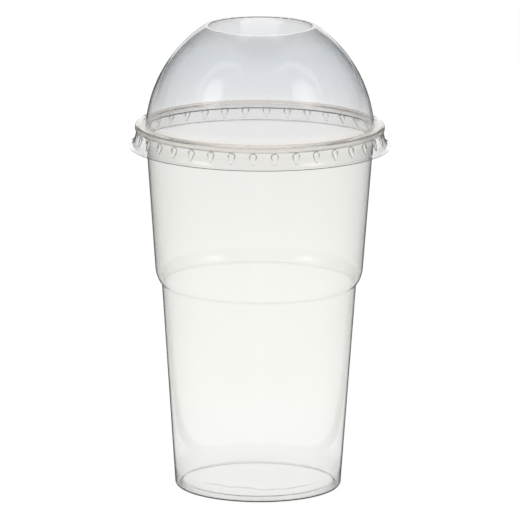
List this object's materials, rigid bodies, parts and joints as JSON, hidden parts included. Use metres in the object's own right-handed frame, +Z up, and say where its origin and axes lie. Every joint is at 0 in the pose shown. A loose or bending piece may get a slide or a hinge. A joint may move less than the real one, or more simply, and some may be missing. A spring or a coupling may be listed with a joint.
{
  "type": "plastic cup with domed lid",
  "caption": "Clear stepped drinking cup with a rolled rim and a push-on domed lid that has a round hole in its top.",
  "frame": {"origin": "centre of the cup's foot, on the surface that it stands on", "axes": "+Z up along the cup's axis, towards the hole in the lid; -Y is the side that faces the picture's camera"},
  "size_m": [0.1016, 0.1016, 0.1819],
  "materials": {
    "clear_cup": "thin clear moulded sheet, smooth and glossy",
    "clear_lid": "thin clear moulded sheet, smooth and glossy"
  },
  "bodies": {
    "cup": {"cup": "clear_cup"},
    "lid": {"dome_lid": "clear_lid"}
  },
  "joints": [
    {"name": "lid_lift", "type": "slide", "parent": "cup", "child": "lid", "axis": [0, 0, 1], "range_m": [0, 0.06]}
  ]
}
